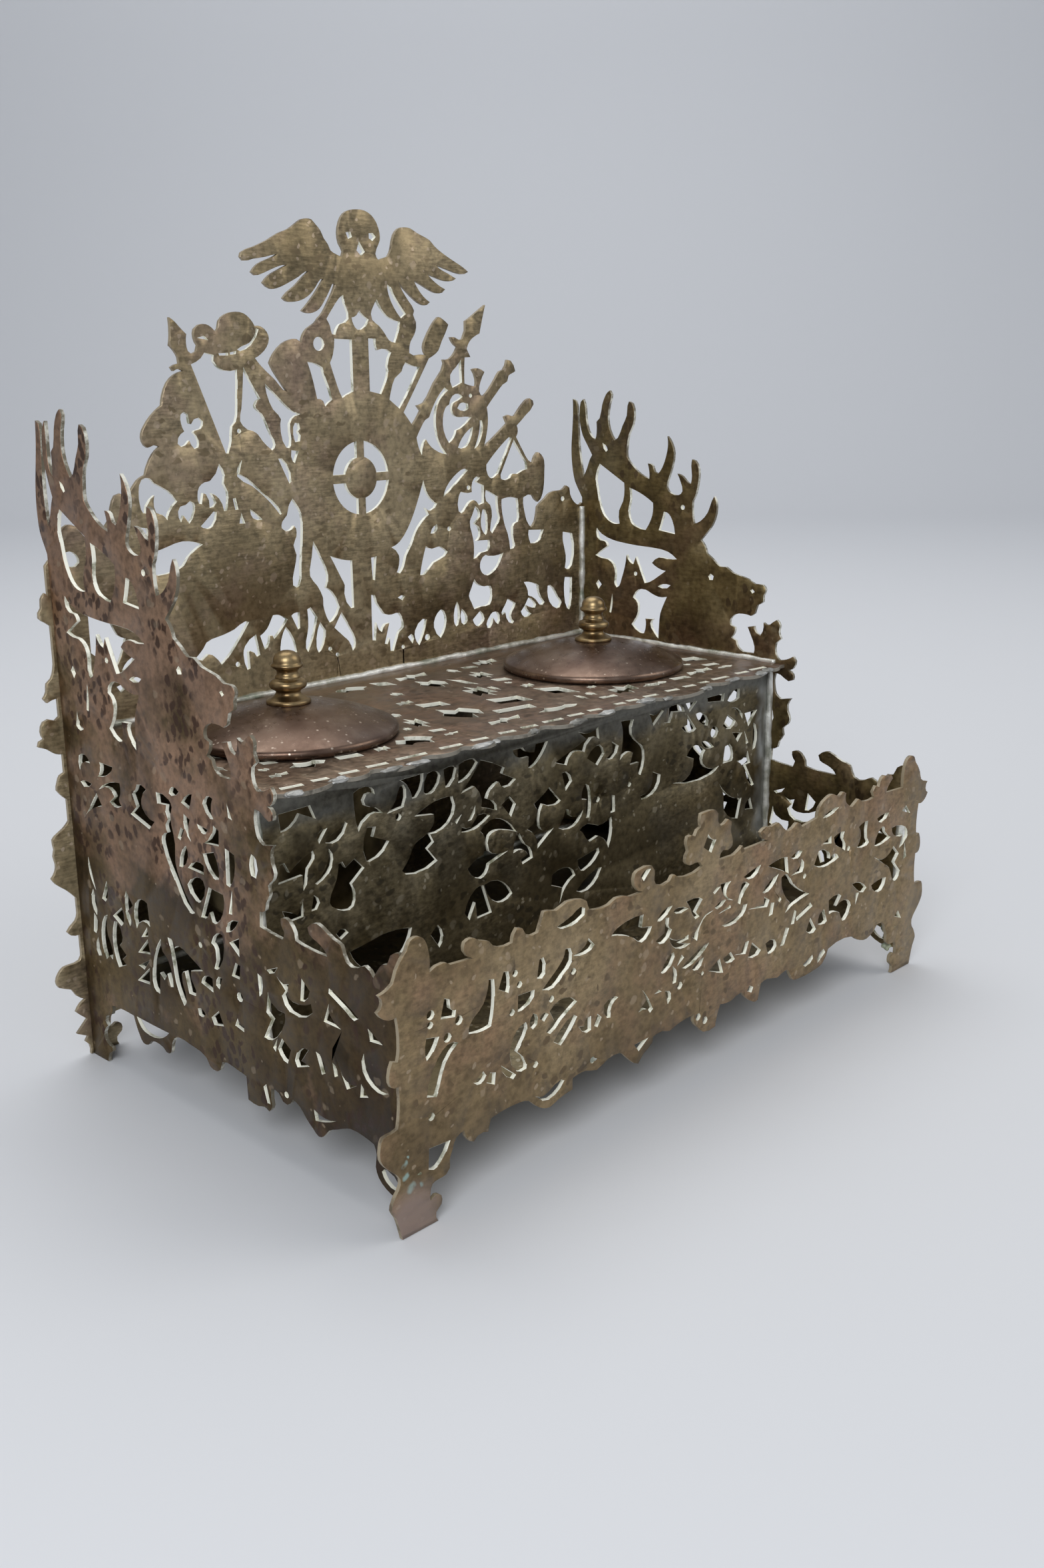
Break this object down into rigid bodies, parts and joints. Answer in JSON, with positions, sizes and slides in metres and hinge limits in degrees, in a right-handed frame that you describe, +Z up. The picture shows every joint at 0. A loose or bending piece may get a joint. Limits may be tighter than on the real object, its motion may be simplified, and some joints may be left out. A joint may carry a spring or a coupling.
{
  "type": "desk inkstand",
  "caption": "Fret-sawn sheet-brass desk inkstand with hunting silhouettes, a pen tray behind a low gallery, and lidded glass ink wells in a raised box.",
  "frame": {"origin": "table plane, under the middle of the whole outline's width and depth, leaves included", "axes": "+Z up, +Y from the gallery to the back plate, +X to the right as seen from the front"},
  "size_m": [0.2444, 0.1488, 0.2458],
  "materials": {
    "sheet_brass": "aged fret-sawn sheet with olive-brown patina and fine scratches",
    "sheet_brass_reddish": "aged sheet with reddish-brown patina",
    "lid_copper_brown": "satin copper-brown patina",
    "turned_brass": "turned and worn bright",
    "solder": "dull grey solder with verdigris",
    "pot_glass": "clear pressed glass, faintly blue"
  },
  "bodies": {
    "root": {"back_plate": "sheet_brass", "side_panel_left": "sheet_brass", "side_panel_right": "sheet_brass", "front_gallery": "sheet_brass_reddish", "box_front": "sheet_brass", "shelf_plate": "sheet_brass_reddish", "floor_plate": "sheet_brass", "well_cup_left": "turned_brass", "well_cup_right": "turned_brass", "seam_rear_left": "solder", "seam_rear_right": "solder", "seam_box_left": "solder", "seam_box_right": "solder", "seam_front_left": "solder", "seam_front_right": "solder", "seam_shelf_back": "solder", "seam_floor_back": "solder", "seam_floor_front": "solder"},
    "pot_left": {"glass_pot_left": "pot_glass"},
    "pot_right": {"glass_pot_right": "pot_glass"},
    "lid_left": {"lid_dome_left": "lid_copper_brown", "lid_collar_left": "sheet_brass", "lid_knob_left": "turned_brass", "knob_nut_left": "turned_brass"},
    "lid_right": {"lid_dome_right": "lid_copper_brown", "lid_collar_right": "sheet_brass", "lid_knob_right": "turned_brass", "knob_nut_right": "turned_brass"}
  },
  "joints": [
    {"name": "pot_lift_left", "type": "slide", "parent": "root", "child": "pot_left", "axis": [0, 0, 1], "range_m": [0, 0.055]},
    {"name": "pot_lift_right", "type": "slide", "parent": "root", "child": "pot_right", "axis": [0, 0, 1], "range_m": [0, 0.055]},
    {"name": "lid_lift_left", "type": "slide", "parent": "pot_left", "child": "lid_left", "axis": [0, 0, 1], "range_m": [0, 0.04]},
    {"name": "lid_lift_right", "type": "slide", "parent": "pot_right", "child": "lid_right", "axis": [0, 0, 1], "range_m": [0, 0.04]}
  ]
}
